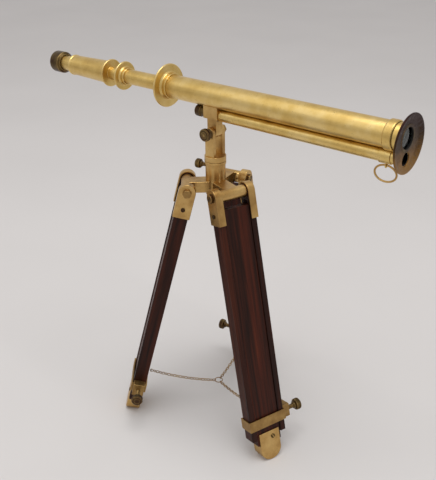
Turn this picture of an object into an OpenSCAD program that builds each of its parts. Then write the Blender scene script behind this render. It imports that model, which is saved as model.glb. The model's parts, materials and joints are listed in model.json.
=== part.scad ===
// Table-top brass telescope. A main barrel with a thin finder barrel below it tilts in a fork,
// the fork turns in a hub, and three hinged wooden legs with sliding feet carry the hub.
// Millimetres. +Z is up and +X points from the eyepiece to the objective.
// The origin is on the floor, on the stand's axis.

/* [Telescope] */
// Height of the main barrel's axis above the floor
axis_h = 386; // [384:1:390]
// Outside diameter of the main barrel
barrel_d = 24; // [23.8:0.1:24.2]
// Distance from the tilt axis forward to the front end of the main barrel
barrel_front = 208; // [206:1:212]
// Distance from the tilt axis back to the rear end of the main barrel
barrel_rear = 62; // [60:1:64]
// Outside diameter of the finder barrel
finder_d = 12.4; // [12.2:0.1:12.4]
// Distance between the axes of the two barrels
finder_drop = 18.6; // [18.6:0.1:19]
// Outside diameter of the draw tube
draw_d = 16; // [15.8:0.1:16.2]
// Diameter of the flange behind the main barrel
rear_flange_d = 45; // [40:1:46]
// Diameter of the dish around both front ends
dish_d = 52; // [50:1:54]

/* [Head] */
// Height of the tilt axis above the floor
tilt_h = 349; // [348:0.5:350]
// Outside diameter of the hub
hub_d = 21; // [20:0.5:22]
// Height of the hub's top face above the floor
hub_top = 318; // [316:1:319]

/* [Legs] */
// Direction of the first leg, from +X towards +Y
first_leg_az = -18; // [-21:1:-15]
// Height of the leg hinges above the floor
hinge_h = 291; // [290:0.5:292]
// Distance of the leg hinges from the stand's axis
hinge_r = 30; // [29.5:0.5:31]
// Distance of the feet from the stand's axis
foot_r = 107; // [105:1:109]
// Width of a leg, across both rails
leg_w = 44; // [43.5:0.5:45]
// Thickness of a leg
leg_t = 15; // [14.5:0.5:16]
// Length of a rail, from the hinge down
rail_len = 275; // [272:1:276]

/* [Chain] */
// Height of the ring that joins the three chains
ring_h = 33; // [31:1:35]
// Number of links in each chain, odd so that both end links stand upright
links = 23; // [23:2:23]

/* [Hidden] */

$fn = 64;
BRASS = "#C8AA6B";
DARK_BRASS = "#7A5A2A";
WOOD = "#3A211B";
GLASS = "#9FB4B8";
LEFT = -1;
RIGHT = 1;

// Overlap of a cutter past the face that it cuts
cut = 1;
// Running clearance on a radius, and the gap between faces that move past each other
fit = 0.05;
gap = 0.3;

// Telescope
barrel_r = barrel_d / 2;
barrel_bore_r = barrel_r - 1;
finder_r = finder_d / 2;
finder_bore_r = finder_r - 0.6;
finder_h = axis_h - finder_drop;
finder_rear = 10;
draw_r = draw_d / 2;
draw_bore_r = draw_r - 0.7;
flange_t = 2.2;
guide_len = 40;
draw_front = -3;
draw_rear = -131;
draw_stop_len = 4;
eye_tube_r = draw_bore_r - fit;
eye_bore_r = eye_tube_r - 1;
eye_tube_front = -112;
eye_flange_x = -152.5;
eye_flange_r = 15;
eye_barrel_rear = -215;
eye_barrel_front_r = 12.4;
eye_barrel_rear_r = 10.9;
eye_wall = 1.4;
neck_r = 8.4;
neck_rear = -234;
cup_front = -231;
cup_rear = -247;
cup_r = 12.2;
dish_drop = 4.5;
dish_back = 207.6;
dish_front = 211;
dish_t = 1.2;
collar_front = 200;
collar_len = 9;
collar_bead = 1.5;
lens_r = 10.5;
cell_len = 17;
cell_rear = barrel_front - cell_len + 1;

// Hanging ring, a flattened ring in the plane of the two barrels
ring_x = 192;
ring_wire_r = 0.9;
ring_end_r = 7.4;
ring_straight = 6;
eye_ring_r = 1.8;
eye_wire_r = 0.6;
finder_collar_t = 0.9;
ring_eye_h = finder_h - finder_r - finder_collar_t - eye_ring_r;

// Head
cheek_inner = 5.2;
cheek_t = 4.2;
cheek_hw = 5.5;
cheek_outer = cheek_inner + cheek_t;
tilt_pin_r = 2.5;
tilt_nut_t = 3.4;
fork_base_r = hub_d / 2 + 0.8;
fork_base_t = 5.6;
spigot_r = 4.5;
spigot_len = 30;
lock_h = 311;
lock_az = 190;
lock_r = 2;
hub_r = hub_d / 2;
hub_bottom = 281;
arm_hw = 8;
arm_hh = 6;
hinge_barrel_r = 6.5;
hinge_pin_r = 2.5;

// Legs. In a leg's own frame +X faces out of the stand, +Y runs across the leg and -Z runs down it.
splay = atan2(foot_r - hinge_r, hinge_h);
leg_len = norm([foot_r - hinge_r, hinge_h]);
rail_w = 6.5;
slot_hw = leg_w / 2 - rail_w;
half_w = leg_w / 2;
half_t = leg_t / 2;
groove_d = 2;
groove_hw = 3;
cap_t = 1.6;
cap_len = 29;
screw_drop = 19;
screw_head_r = 2.2;
screw_shank_r = 1;
strap_t = 1.6;
strap_top = 250;
strap_len = 12;
clamp_drop = strap_top + strap_len / 2;
clamp_r = 2.5;
boss_len = 9;
boss_hh = 9;
knob_r = 6.5;
// How far the eyelet's bar stands above the clamp screw, and how far from the strap's face
eyelet_rise = 10;
eyelet_stand = 2.6;
eyelet_hw = 2.6;
eyelet_wire_r = 0.5;
slider_top = 14;
slider_end = 283;
slider_hw = slot_hw - gap;
slider_ht = half_t - 1;
shoe_hw = 13;
shoe_plate_t = 1.5;
shoe_ht = slider_ht + shoe_plate_t;
shoe_plate_top = 269;
shoe_screw_side = 4;
shoe_round = leg_len - 11;

// Chains
link_r = 2.3;
link_wire_r = 0.45;
chain_ring_r = 4.6;
chain_ring_wire_r = 0.5;
chain_sag = 3;
// Distance from an end link's middle to the wire that it hangs on
link_hold = 1.1;

function leg_az(leg) = first_leg_az + 120 * (leg - 1);

// Radius and height of a point on a leg, from its place down the leg and out of it
function leg_radius(down, out) = hinge_r + down * sin(splay) + out * cos(splay);
function leg_height(down, out) = hinge_h - down * cos(splay) + out * sin(splay);

eyelet_drop = clamp_drop - eyelet_rise;
eyelet_out = half_t + strap_t + eyelet_stand;
eyelet_r = leg_radius(eyelet_drop, -eyelet_out);
eyelet_h = leg_height(eyelet_drop, -eyelet_out);

// Moves children to the main barrel's axis, with their +Z along +X
module on_axis(x = 0) {
  translate([x, 0, axis_h]) rotate([0, 90, 0]) children();
}

// The same for the finder barrel's axis
module on_finder(x = 0) {
  translate([x, 0, finder_h]) rotate([0, 90, 0]) children();
}

// Moves children from a leg's own frame to its place under the hub
module on_leg(leg) {
  rotate([0, 0, leg_az(leg)]) translate([hinge_r, 0, hinge_h]) rotate([0, -splay, 0]) children();
}

// A plain tube from z = 0 up
module tube(len, outer_r, inner_r) {
  difference() {
    cylinder(h = len, r = outer_r);
    translate([0, 0, -cut]) cylinder(h = len + 2 * cut, r = inner_r);
  }
}

// A ring of round wire, flat in the XY plane
module wire_ring(ring_r, wire_r) {
  rotate_extrude() translate([ring_r, 0]) circle(r = wire_r, $fn = 24);
}

// A lens with two bulging faces, its middle at z = 0
module bulging_lens(rim_r, face_r, thick) {
  intersection() {
    cylinder(h = 2 * thick, r = rim_r, center = true);
    translate([0, 0, thick / 2 - face_r]) sphere(r = face_r, $fn = 128);
    translate([0, 0, face_r - thick / 2]) sphere(r = face_r, $fn = 128);
  }
}

// A turned knob with a waisted neck, from z = 0 up
module turned_knob(len, rim_r) {
  rotate_extrude()
    polygon([
      [0, 0], [rim_r * 0.55, 0], [rim_r * 0.55, len * 0.2], [rim_r * 0.92, len * 0.3],
      [rim_r, len * 0.38], [rim_r, len * 0.85], [rim_r * 0.85, len], [0, len]]);
}

module main_barrel() {
  color(BRASS) on_axis(-barrel_rear) tube(barrel_rear + barrel_front, barrel_r, barrel_bore_r);
}

// Bright band around the main barrel, close behind the dish, notched where the finder passes
module front_collar() {
  color(BRASS)
    difference() {
      on_axis(collar_front - collar_len)
        rotate_extrude()
          polygon([
            [barrel_r, 0], [barrel_r + 0.6, 0], [barrel_r + collar_bead, 1.2],
            [barrel_r + collar_bead, collar_len - 1.2], [barrel_r + 0.6, collar_len],
            [barrel_r, collar_len]]);
      on_finder(collar_front - collar_len - cut)
        cylinder(h = collar_len + 2 * cut, r = finder_r + fit);
    }
}

// Shallow dish that holds both front ends, set a little below the main axis
module front_dish() {
  rim_r = dish_d / 2;
  floor_r = rim_r - 5;
  depth = dish_front - dish_back;
  color(DARK_BRASS)
    difference() {
      translate([0, 0, -dish_drop])
        on_axis(dish_back)
          rotate_extrude()
            polygon([
              [0, 0], [floor_r - 1, 0], [rim_r - 0.8, depth - 2], [rim_r, depth - 1.4],
              [rim_r, depth], [rim_r - 1.4, depth], [floor_r - 1.4, dish_t], [0, dish_t]]);
      on_axis(dish_back - cut) cylinder(h = depth + 2 * cut, r = barrel_r);
      on_finder(dish_back - cut) cylinder(h = depth + 2 * cut, r = finder_r);
    }
}

// Threaded cell in the front of the main barrel, with a lip in front of the lenses
module objective_cell() {
  lip = 1.5;
  color(BRASS)
    on_axis(cell_rear)
      rotate_extrude()
        polygon([
          [lens_r, 0], [barrel_bore_r, 0], [barrel_bore_r, cell_len - 1],
          [barrel_r, cell_len - 1], [barrel_r, cell_len], [lens_r - 1, cell_len],
          [lens_r - 1, cell_len - lip], [lens_r, cell_len - lip]]);
}

module objective_crown() {
  color(GLASS, 0.5) on_axis(barrel_front - 3.1) bulging_lens(lens_r, 60, 5);
}

module objective_flint() {
  color(GLASS, 0.5)
    on_axis(barrel_front - 10.2)
      difference() {
        cylinder(h = 4, r = lens_r);
        translate([0, 0, 3 + 60]) sphere(r = 60, $fn = 128);
      }
}

// Screwed ring that holds the lenses in their cell
module objective_ring() {
  color(BRASS) on_axis(cell_rear + 1.5) tube(4, lens_r, lens_r - 1.5);
}

// Turned flange with a short sleeve over the rear end of the main barrel
module rear_flange() {
  rim_r = rear_flange_d / 2;
  sleeve = 6;
  color(BRASS)
    on_axis(-barrel_rear - flange_t)
      rotate_extrude()
        polygon([
          [draw_r + gap, 0], [draw_r + 4, 0], [draw_r + 5, -1.2], [draw_r + 6, 0],
          [rim_r - 0.7, 0], [rim_r, 0.7], [rim_r, flange_t - 0.7], [rim_r - 0.7, flange_t],
          [barrel_r + 3, flange_t], [barrel_r + 1.4, flange_t + 1.5],
          [barrel_r + 1.4, flange_t + sleeve], [barrel_r, flange_t + sleeve],
          [barrel_r, flange_t], [draw_r + gap, flange_t]]);
}

// Sleeve that the draw tube runs in
module draw_guide() {
  color(BRASS) on_axis(-barrel_rear) tube(guide_len, barrel_bore_r, draw_r + fit);
}

module finder_barrel() {
  color(BRASS) on_finder(-finder_rear) tube(finder_rear + barrel_front, finder_r, finder_bore_r);
}

// Collar at the front of the finder, open above, with the eye that the hanging ring runs through
module finder_collar() {
  collar_r = finder_r + finder_collar_t;
  len = 11;
  color(BRASS)
    difference() {
      union() {
        on_finder(ring_x - len / 2) cylinder(h = len, r = collar_r);
        translate([ring_x, 0, ring_eye_h]) rotate([0, 90, 0]) wire_ring(eye_ring_r, eye_wire_r);
      }
      on_finder(ring_x - len) cylinder(h = 2 * len, r = finder_r);
      on_axis(ring_x - len) cylinder(h = 2 * len, r = barrel_r + collar_bead + gap);
    }
}

module finder_objective() {
  color(GLASS, 0.5) on_finder(barrel_front - 3) bulging_lens(finder_bore_r, 30, 2.4);
}

// Small eyepiece that slides in the rear end of the finder
module finder_eyepiece() {
  head = 9;
  sleeve = 22;
  head_r = finder_r - 0.2;
  bore_r = 2.6;
  color(BRASS)
    on_finder(-finder_rear - 4 - head)
      rotate_extrude()
        polygon([
          [bore_r, 1.5], [head_r - 1, 0], [head_r, 1], [head_r, head - 2], [head_r - 1.4, head],
          [finder_bore_r - fit, head], [finder_bore_r - fit, head + sleeve], [bore_r, head + sleeve]]);
}

// Block that joins the two barrels, with the lug that tilts in the fork
module saddle() {
  half_len = 9;
  half_wide = 7.5;
  lug_hw = cheek_inner - gap;
  lug_r = 6;
  block_bottom = finder_h - 4;
  block_top = axis_h - 7;
  color(BRASS)
    difference() {
      union() {
        translate([-half_len, -half_wide, block_bottom])
          cube([2 * half_len, 2 * half_wide, block_top - block_bottom]);
        translate([-lug_r, -lug_hw, tilt_h]) cube([2 * lug_r, 2 * lug_hw, finder_h - tilt_h]);
        translate([0, lug_hw, tilt_h]) rotate([90, 0, 0]) cylinder(h = 2 * lug_hw, r = lug_r);
      }
      on_axis(-half_len - cut) cylinder(h = 2 * half_len + 2 * cut, r = barrel_r);
      on_finder(-half_len - cut) cylinder(h = 2 * half_len + 2 * cut, r = finder_r);
      translate([0, cheek_inner, tilt_h])
        rotate([90, 0, 0])
          cylinder(h = 2 * cheek_inner, r = tilt_pin_r + fit);
    }
}

// Flattened ring that hangs under the front end
module hanging_ring() {
  color(DARK_BRASS)
    translate([ring_x, 0, ring_eye_h - ring_end_r])
      rotate([90, 0, 0]) {
        for (side = [-1, 1]) {
          translate([side * ring_straight / 2, 0, 0])
            rotate([0, 0, -90 * side])
              rotate_extrude(angle = 180)
                translate([ring_end_r, 0])
                  circle(r = ring_wire_r, $fn = 24);
          translate([-ring_straight / 2, side * ring_end_r, 0])
            rotate([0, 90, 0])
              cylinder(h = ring_straight, r = ring_wire_r, $fn = 24);
        }
      }
}

module draw_tube() {
  color(BRASS) on_axis(draw_rear) tube(draw_front - draw_rear, draw_r, draw_bore_r);
}

// Turned flange on the rear end of the draw tube
module draw_flange() {
  rim_r = 15.5;
  color(BRASS)
    on_axis(draw_rear)
      rotate_extrude()
        polygon([
          [draw_r, 0], [rim_r - 0.6, 0], [rim_r, 0.6], [rim_r, flange_t - 0.6],
          [rim_r - 0.6, flange_t], [draw_r + 2.4, flange_t], [draw_r + 1.2, flange_t + 1.4],
          [draw_r + 1.2, flange_t + 6], [draw_r, flange_t + 6]]);
}

// Ring that stops the draw tube from leaving its guide
module draw_stop() {
  color(BRASS) on_axis(draw_front - draw_stop_len) tube(draw_stop_len, barrel_bore_r - gap, draw_r);
}

module erector_front() {
  color(GLASS, 0.5) on_axis(-16) bulging_lens(draw_bore_r, 26, 4);
}

module erector_rear() {
  color(GLASS, 0.5) on_axis(-60) bulging_lens(draw_bore_r, 26, 4);
}

// Tapered eyepiece barrel with its flange, its neck and the tube that slides in the draw tube
module eyepiece_barrel() {
  back = -eye_barrel_rear;
  color(BRASS)
    on_axis()
      rotate_extrude()
        polygon([
          [eye_bore_r, eye_tube_front], [eye_tube_r, eye_tube_front],
          [eye_tube_r, eye_flange_x + flange_t], [eye_flange_r - 0.6, eye_flange_x + flange_t],
          [eye_flange_r, eye_flange_x + flange_t - 0.6], [eye_flange_r, eye_flange_x + 0.6],
          [eye_flange_r - 0.6, eye_flange_x], [eye_barrel_front_r + 0.8, eye_flange_x],
          [eye_barrel_front_r + 0.8, eye_flange_x - 3], [eye_barrel_front_r, eye_flange_x - 4],
          [eye_barrel_rear_r, 3 - back], [eye_barrel_rear_r + 0.7, 2 - back],
          [eye_barrel_rear_r + 0.7, 0.6 - back], [eye_barrel_rear_r, -back], [neck_r, -back - 1],
          [neck_r, neck_rear], [eye_bore_r, neck_rear], [eye_bore_r, 2 - back],
          [eye_barrel_rear_r - eye_wall, 4 - back], [eye_barrel_front_r - eye_wall, eye_flange_x - 2],
          [eye_bore_r, eye_flange_x]]);
}

// Cup that the eye rests against, open to the rear
module eye_cup() {
  color(DARK_BRASS)
    on_axis()
      rotate_extrude()
        polygon([
          [neck_r, cup_front], [neck_r + 1.4, cup_front], [cup_r, cup_front - 2.4],
          [cup_r, cup_rear + 0.8], [cup_r - 0.8, cup_rear], [cup_r - 2, cup_rear],
          [eye_bore_r - 1, neck_rear - 2], [eye_bore_r - 1, neck_rear], [neck_r, neck_rear]]);
}

module field_lens() {
  color(GLASS, 0.5) on_axis(-116) bulging_lens(eye_bore_r, 22, 3.4);
}

module eye_lens() {
  color(GLASS, 0.5) on_axis(-228) bulging_lens(eye_bore_r, 18, 3.6);
}

// Fork with two cheeks, and the spigot that turns in the hub
module fork() {
  base_bottom = hub_top + gap;
  color(BRASS)
    difference() {
      union() {
        translate([0, 0, base_bottom]) cylinder(h = fork_base_t, r = fork_base_r);
        translate([0, 0, base_bottom - spigot_len]) cylinder(h = spigot_len + cut, r = spigot_r);
        for (side = [-1, 1]) {
          translate([-cheek_hw, side > 0 ? cheek_inner : -cheek_outer, base_bottom + cut])
            cube([2 * cheek_hw, cheek_t, tilt_h - base_bottom - cut]);
          translate([0, side > 0 ? cheek_outer : -cheek_inner, tilt_h])
            rotate([90, 0, 0])
              cylinder(h = cheek_t, r = cheek_hw);
        }
      }
      translate([0, cheek_outer + cut, tilt_h])
        rotate([90, 0, 0])
          cylinder(h = 2 * cheek_outer + 2 * cut, r = tilt_pin_r + fit);
    }
}

// Thumb bolt that the telescope tilts on
module tilt_bolt() {
  near = cheek_outer + gap;
  far = cheek_outer + tilt_nut_t + 1.2;
  washer_t = 1;
  color(BRASS)
    translate([0, -near, tilt_h])
      rotate([90, 0, 0]) {
        translate([0, 0, washer_t]) turned_knob(7, knob_r);
        cylinder(h = washer_t, r = knob_r - 1.5);
        translate([0, 0, -near - far]) cylinder(h = near + far + washer_t, r = tilt_pin_r);
      }
}

module tilt_nut() {
  color(BRASS)
    translate([0, cheek_outer + tilt_nut_t, tilt_h])
      rotate([90, 0, 0])
        difference() {
          cylinder(h = tilt_nut_t, r = 5, $fn = 6);
          translate([0, 0, -cut]) cylinder(h = tilt_nut_t + 2 * cut, r = tilt_pin_r + fit);
        }
}

// Hub with a bore for the fork and three arms that end in hinge barrels
module hub() {
  barrel_hw = slot_hw - gap;
  color(BRASS)
    difference() {
      union() {
        translate([0, 0, hub_bottom]) cylinder(h = hub_top - hub_bottom, r = hub_r);
        translate([0, 0, hub_top - 3]) cylinder(h = 3, r = hub_r + 0.8);
        for (leg = [1:3])
          rotate([0, 0, leg_az(leg)]) {
            translate([spigot_r + 2, -arm_hw, hinge_h - arm_hh])
              cube([hinge_r - spigot_r - 2, 2 * arm_hw, 2 * arm_hh]);
            translate([hinge_r, barrel_hw, hinge_h])
              rotate([90, 0, 0])
                cylinder(h = 2 * barrel_hw, r = hinge_barrel_r);
          }
      }
      translate([0, 0, hub_bottom - cut])
        cylinder(h = hub_top - hub_bottom + 2 * cut, r = spigot_r + fit);
      for (leg = [1:3])
        rotate([0, 0, leg_az(leg)])
          translate([hinge_r, half_w, hinge_h])
            rotate([90, 0, 0])
              cylinder(h = leg_w, r = hinge_pin_r);
      translate([0, 0, lock_h])
        rotate([0, 0, lock_az])
          rotate([0, 90, 0])
            cylinder(h = 2 * hub_r, r = lock_r + fit);
    }
}

// Turned plug that closes the hub's bore from below
module hub_finial() {
  plug_r = spigot_r + fit;
  plug_top = hub_top + gap - spigot_len - 1;
  color(BRASS)
    rotate_extrude()
      polygon([
        [0, plug_top], [plug_r, plug_top], [plug_r, hub_bottom], [hub_r - 1, hub_bottom],
        [hub_r - 2, hub_bottom - 2.5], [5, hub_bottom - 5], [4, hub_bottom - 7],
        [5.4, hub_bottom - 9], [4.6, hub_bottom - 12], [0, hub_bottom - 13]]);
}

// The three leg bolts, each with a head and a nut outside the leg
module hinge_bolts() {
  half = half_w + cap_t + 0.2;
  head = 2.6;
  color(DARK_BRASS)
    for (leg = [1:3])
      rotate([0, 0, leg_az(leg)])
        translate([hinge_r, 0, hinge_h])
          rotate([90, 0, 0]) {
            cylinder(h = 2 * half + 2, r = hinge_pin_r, center = true);
            translate([0, 0, half]) cylinder(h = head, r = 4.6);
            translate([0, 0, -half - head]) cylinder(h = head, r = 4.8, $fn = 6);
          }
}

// Small screw that locks the fork's spigot
module pan_lock_screw() {
  tip = spigot_r + gap;
  knob_at = hub_r + 5;
  color(DARK_BRASS)
    translate([0, 0, lock_h])
      rotate([0, 0, lock_az])
        rotate([0, 90, 0]) {
          translate([0, 0, tip]) cylinder(h = knob_at - tip + cut, r = lock_r);
          translate([0, 0, knob_at]) turned_knob(8, 5);
        }
}

// Cylinder across a leg, from one distance from its middle to another
module across(from, to, radius) {
  translate([0, from, 0]) rotate([-90, 0, 0]) cylinder(h = to - from, r = radius);
}

// Wooden rail with a round top and a groove for the slider. side is LEFT or RIGHT.
module leg_rail(leg, side) {
  color(WOOD)
    on_leg(leg)
      scale_side(side)
        difference() {
          union() {
            translate([-half_t, slot_hw, -rail_len]) cube([leg_t, rail_w, rail_len]);
            across(slot_hw, half_w, half_t);
          }
          translate([-groove_hw, slot_hw - cut, -rail_len - cut])
            cube([2 * groove_hw, groove_d + cut, rail_len - slider_top + 4 + cut]);
          across(0, half_w + cut, hinge_pin_r + fit);
          translate([0, 0, -screw_drop]) across(slot_hw - cut, half_w + cut, screw_shank_r);
          translate([0, 0, -clamp_drop]) across(slot_hw - cut, half_w + cut, clamp_r + 0.3);
        }
}

// Keeps children on the +Y side, or mirrors them to the -Y side
module scale_side(side) {
  if (side > 0) children();
  else mirror([0, 1, 0]) children();
}

// Two brass caps, one over the top of each rail
module leg_caps(leg) {
  outer_t = half_t + cap_t;
  color(BRASS)
    on_leg(leg)
      for (side = [LEFT, RIGHT])
        scale_side(side)
          difference() {
            union() {
              translate([-outer_t, slot_hw, -cap_len])
                cube([2 * outer_t, rail_w + cap_t, cap_len]);
              across(slot_hw, half_w + cap_t, outer_t);
            }
            translate([-half_t, slot_hw - cut, -cap_len - cut])
              cube([leg_t, rail_w + cut, cap_len + cut]);
            across(slot_hw - cut, half_w, half_t);
            across(0, half_w + 2 * cap_t, hinge_pin_r + fit);
            translate([0, 0, -screw_drop]) across(0, half_w + 2 * cap_t, screw_shank_r);
          }
}

// Screws that hold the caps to the rails
module cap_screws(leg) {
  head = 1;
  color(DARK_BRASS)
    on_leg(leg)
      for (side = [LEFT, RIGHT])
        scale_side(side)
          translate([0, 0, -screw_drop]) {
            across(slot_hw + groove_d + 0.5, half_w + cap_t + head / 2, screw_shank_r);
            across(half_w + cap_t, half_w + cap_t + head, screw_head_r);
          }
}

// Wire staple on a strap's inner face, whose straight bar carries the chain
module chain_eyelet() {
  foot_x = -half_t - strap_t / 2;
  for (side = [-1, 1]) {
    translate([-eyelet_out, side * eyelet_hw, 0])
      rotate([0, 90, 0])
        cylinder(h = foot_x + eyelet_out, r = eyelet_wire_r, $fn = 24);
    translate([-eyelet_out, side * eyelet_hw, 0]) sphere(r = eyelet_wire_r, $fn = 24);
  }
  translate([-eyelet_out, 0, 0]) across(-eyelet_hw, eyelet_hw, eyelet_wire_r);
}

// Brass strap around both rails, with the clamp screw's boss and a tab for the chain's eyelet
module strap(leg) {
  outer_w = half_w + strap_t;
  outer_t = half_t + strap_t;
  boss_ht = half_t - 1;
  tab_hw = 5;
  tab_len = eyelet_rise + 3 - strap_len / 2;
  color(BRASS)
    on_leg(leg)
      difference() {
        union() {
          translate([-outer_t, -outer_w, -strap_top - strap_len])
            cube([2 * outer_t, 2 * outer_w, strap_len]);
          translate([-boss_ht, half_w, -clamp_drop - strap_len / 2])
            cube([2 * boss_ht, boss_len, strap_len / 2 + boss_hh]);
          translate([-outer_t, -tab_hw, -strap_top - cut]) cube([strap_t, 2 * tab_hw, tab_len + cut]);
          translate([0, 0, -eyelet_drop]) chain_eyelet();
        }
        translate([-half_t, -half_w, -strap_top - strap_len - cut])
          cube([leg_t, leg_w, strap_len + 2 * cut]);
        translate([0, 0, -clamp_drop]) across(half_w - cut, half_w + boss_len + cut, clamp_r + fit);
      }
}

// Thumb screw that presses on the slider
module clamp_screw(leg) {
  knob_at = half_w + boss_len + 9;
  color(BRASS)
    on_leg(leg)
      translate([0, 0, -clamp_drop]) {
        across(slot_hw + groove_d - gap, knob_at + cut, clamp_r);
        translate([0, knob_at, 0]) rotate([-90, 0, 0]) turned_knob(9, knob_r);
      }
}

// Cylinder along the foot's screw, through the middle of the leg
module foot_screw(len, radius) {
  translate([0, shoe_screw_side, -shoe_plate_top - 7])
    rotate([0, 90, 0])
      cylinder(h = len, r = radius, center = true);
}

// Sliding wooden leg with a tongue on each side
module slider(leg) {
  tongue = groove_d - gap;
  color(WOOD)
    on_leg(leg)
      difference() {
        union() {
          translate([-slider_ht, -slider_hw, -slider_end])
            cube([2 * slider_ht, 2 * slider_hw, slider_end - slider_top]);
          translate([-groove_hw + gap, -slider_hw - tongue, -strap_top])
            cube([2 * (groove_hw - gap), 2 * (slider_hw + tongue), strap_top - slider_top]);
        }
        foot_screw(3 * slider_ht, screw_shank_r);
      }
}

// Brass foot, round below and cut flat where it stands, with a slot over the slider's end
module foot(leg) {
  head = 0.7;
  color(BRASS)
    difference() {
      on_leg(leg) {
        difference() {
          union() {
            translate([-shoe_ht, -shoe_hw, -shoe_round])
              cube([2 * shoe_ht, 2 * shoe_hw, shoe_round - shoe_plate_top]);
            translate([-shoe_ht, 0, -shoe_round])
              rotate([0, 90, 0])
                cylinder(h = 2 * shoe_ht, r = shoe_hw);
          }
          translate([-slider_ht, -slider_hw, -slider_end])
            cube([2 * slider_ht, 2 * slider_hw, slider_end]);
        }
        foot_screw(2 * shoe_ht, screw_shank_r);
        for (side = [-1, 1])
          translate([side * (shoe_ht + head / 2), 0, 0]) foot_screw(head, screw_head_r);
      }
      translate([-2 * foot_r, -2 * foot_r, -foot_r]) cube([4 * foot_r, 4 * foot_r, foot_r]);
    }
}

// Chain of round links from a leg's eyelet to the ring, sagging a little on the way.
// Each end link runs through the ring beside it.
module chain(leg) {
  start_r = chain_ring_r + link_hold;
  end_r = eyelet_r - link_hold;
  run = end_r - start_r;
  rise = eyelet_h - ring_h;
  slope = atan2(rise, run);
  color(BRASS)
    rotate([0, 0, leg_az(leg)])
      for (i = [0:links - 1]) {
        along = i / (links - 1);
        droop = 4 * chain_sag * along * (1 - along);
        pitch = slope - atan(4 * chain_sag * (1 - 2 * along) / run);
        translate([start_r + run * along, 0, ring_h + rise * along - droop])
          rotate([0, -pitch, 0])
            rotate([90 * ((i + 1) % 2), 0, 0])
              wire_ring(link_r, link_wire_r);
      }
}

// Ring that joins the three chains
module chain_ring() {
  color(BRASS) translate([0, 0, ring_h]) wire_ring(chain_ring_r, chain_ring_wire_r);
}

main_barrel();
front_collar();
front_dish();
objective_cell();
objective_crown();
objective_flint();
objective_ring();
rear_flange();
draw_guide();
finder_barrel();
finder_collar();
finder_objective();
finder_eyepiece();
saddle();
hanging_ring();
draw_tube();
draw_flange();
draw_stop();
erector_front();
erector_rear();
eyepiece_barrel();
eye_cup();
field_lens();
eye_lens();
fork();
tilt_bolt();
tilt_nut();
hub();
hub_finial();
hinge_bolts();
pan_lock_screw();
leg_rail(1, LEFT);  // rail_left_1
leg_rail(1, RIGHT);  // rail_right_1
leg_caps(1);  // leg_caps_1
cap_screws(1);  // cap_screws_1
strap(1);  // strap_1
clamp_screw(1);  // clamp_screw_1
slider(1);  // slider_1
foot(1);  // foot_1
leg_rail(2, LEFT);  // rail_left_2
leg_rail(2, RIGHT);  // rail_right_2
leg_caps(2);  // leg_caps_2
cap_screws(2);  // cap_screws_2
strap(2);  // strap_2
clamp_screw(2);  // clamp_screw_2
slider(2);  // slider_2
foot(2);  // foot_2
leg_rail(3, LEFT);  // rail_left_3
leg_rail(3, RIGHT);  // rail_right_3
leg_caps(3);  // leg_caps_3
cap_screws(3);  // cap_screws_3
strap(3);  // strap_3
clamp_screw(3);  // clamp_screw_3
slider(3);  // slider_3
foot(3);  // foot_3
chain(1);  // chain_1
chain(2);  // chain_2
chain(3);  // chain_3
chain_ring();
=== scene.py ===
"""Brass telescope on a wooden tripod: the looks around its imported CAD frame.

Turned brass is a profile carried round an axis, wire and chain are circles carried along a path, and
cast brass and planed wood are their CAD shapes with softened edges. All places come from the frame.
Lengths in the calls below are millimetres, and the frame and the meshes are in metres.
"""

import json

import bmesh
import bpy
import numpy as np
from mathutils import Matrix, Vector


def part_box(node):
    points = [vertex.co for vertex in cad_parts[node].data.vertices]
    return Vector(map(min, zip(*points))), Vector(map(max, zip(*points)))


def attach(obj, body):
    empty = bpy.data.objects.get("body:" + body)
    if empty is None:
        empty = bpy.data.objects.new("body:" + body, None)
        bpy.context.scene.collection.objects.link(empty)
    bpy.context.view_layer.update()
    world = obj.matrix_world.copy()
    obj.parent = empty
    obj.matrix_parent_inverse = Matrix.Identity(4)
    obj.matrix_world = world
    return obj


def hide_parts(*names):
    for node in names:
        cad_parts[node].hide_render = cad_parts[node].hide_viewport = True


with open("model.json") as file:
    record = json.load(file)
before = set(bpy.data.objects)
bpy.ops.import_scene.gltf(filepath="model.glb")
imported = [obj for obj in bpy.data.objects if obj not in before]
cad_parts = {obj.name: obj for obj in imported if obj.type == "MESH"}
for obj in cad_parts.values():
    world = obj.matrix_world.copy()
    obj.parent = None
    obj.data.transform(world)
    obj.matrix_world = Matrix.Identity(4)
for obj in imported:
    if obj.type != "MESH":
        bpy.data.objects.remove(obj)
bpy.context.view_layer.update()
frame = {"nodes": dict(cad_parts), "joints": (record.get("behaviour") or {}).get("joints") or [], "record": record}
JOINTS = {joint["name"]: joint for joint in frame["joints"]}
BODY_OF = {node: body for body, nodes in frame["record"]["behaviour"]["bodies"].items() for node in nodes}
LEGS = (1, 2, 3)
MM = 0.001
X, Y, Z = np.eye(3)


# ---------------------------------------------------------------- camera, light and floor


def place_camera():
    """A camera off the front left, above the telescope. Its back is the vector from target to lens."""
    azimuth, elevation, roll = np.radians((40.8, 27.2, -0.8))
    distance = 0.7645
    target = np.array((0.002, 0.0, 0.2256))
    back = np.array((
        np.sin(azimuth) * np.cos(elevation), -np.cos(azimuth) * np.cos(elevation), np.sin(elevation)))
    right = np.cross(-back, Z)
    right /= np.linalg.norm(right)
    up = np.cross(right, -back)
    turned_right = right * np.cos(roll) + up * np.sin(roll)
    turned_up = up * np.cos(roll) - right * np.sin(roll)
    data = bpy.data.cameras.new("view_camera")
    data.lens = 52.4
    data.sensor_width = 36
    data.clip_start = 0.05
    data.clip_end = 50
    camera = bpy.data.objects.new("view_camera", data)
    turn = Matrix((turned_right, turned_up, back)).transposed().to_4x4()
    camera.matrix_world = Matrix.Translation(target + back * distance) @ turn
    bpy.context.collection.objects.link(camera)
    bpy.context.scene.camera = camera


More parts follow.
